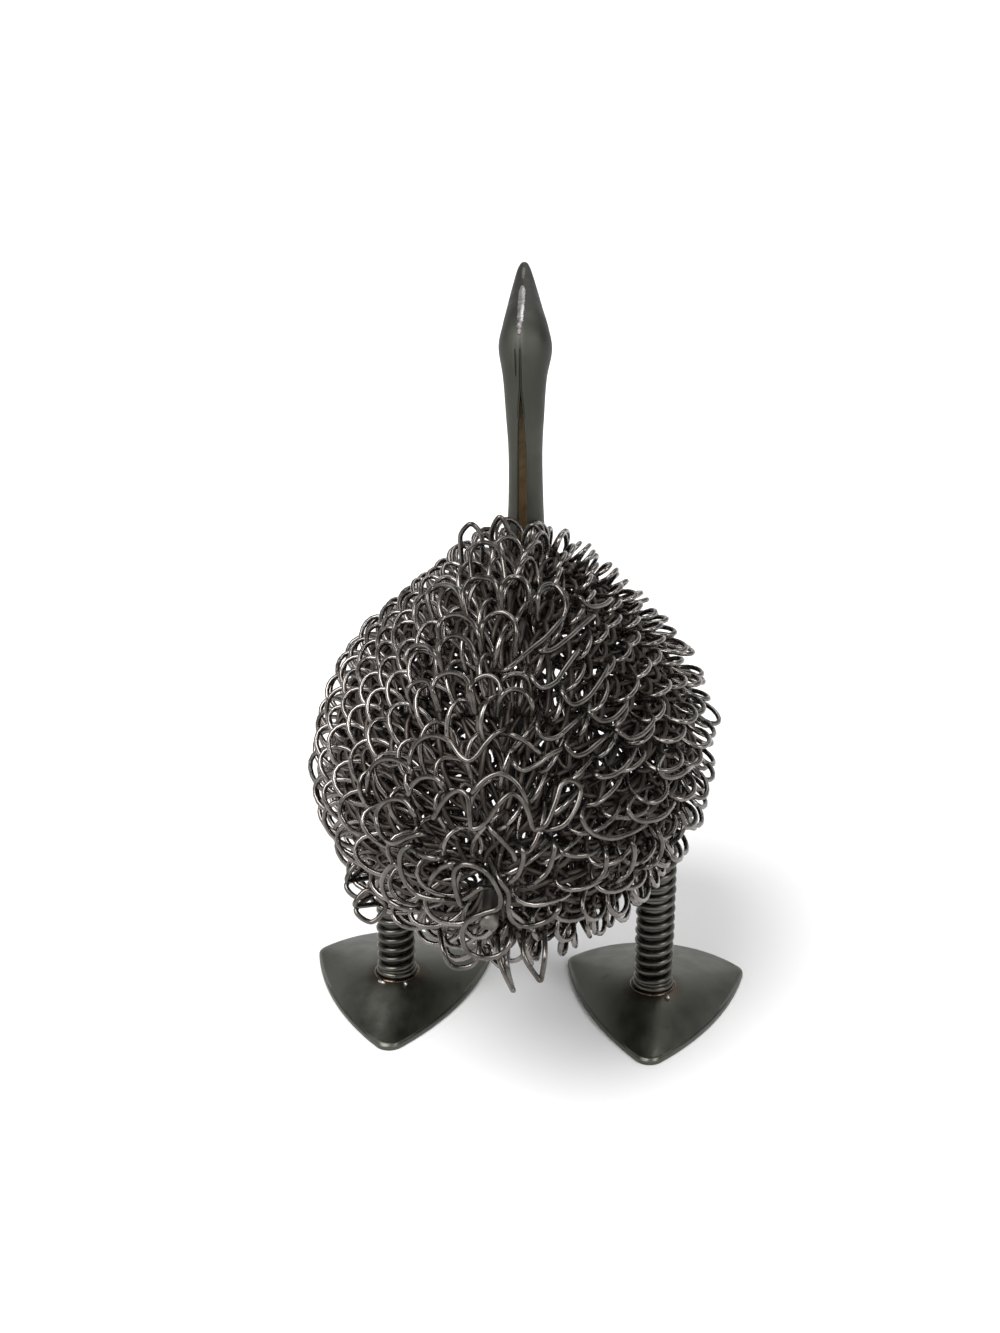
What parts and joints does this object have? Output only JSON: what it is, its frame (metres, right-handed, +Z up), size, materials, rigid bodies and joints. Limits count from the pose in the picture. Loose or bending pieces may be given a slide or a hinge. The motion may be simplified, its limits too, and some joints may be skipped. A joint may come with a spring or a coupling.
{
  "type": "duck sculpture",
  "caption": "Standing duck ornament: body of steel-wire coils in rows as plumage, formed sheet neck and head, wire-wound legs and pressed feet.",
  "frame": {"origin": "middle of the object's box, on the floor it stands on", "axes": "+Z up, the duck faces +Y, +X is its right-hand side"},
  "size_m": [0.2008, 0.239, 0.3191],
  "materials": {
    "sheet_steel": "bare formed sheet steel, satin, a little browned",
    "rod_steel": "bare round bar, dull",
    "coil_wire": "dark drawn spring wire, half gloss"
  },
  "bodies": {
    "root": {"neck_and_head": "sheet_steel", "foot_left": "sheet_steel", "foot_right": "sheet_steel", "backbone_rod": "rod_steel", "leg_left": "coil_wire", "leg_right": "coil_wire", "feather_coil_01": "coil_wire", "feather_coil_02": "coil_wire", "feather_coil_03": "coil_wire", "feather_coil_04": "coil_wire", "feather_coil_05": "coil_wire", "feather_coil_06": "coil_wire", "feather_coil_07": "coil_wire", "feather_coil_08": "coil_wire", "feather_coil_09": "coil_wire", "feather_coil_10": "coil_wire", "feather_coil_11": "coil_wire", "feather_coil_12": "coil_wire", "feather_coil_13": "coil_wire", "feather_coil_14": "coil_wire", "feather_coil_15": "coil_wire", "feather_coil_16": "coil_wire", "feather_coil_17": "coil_wire"}
  },
  "joints": []
}
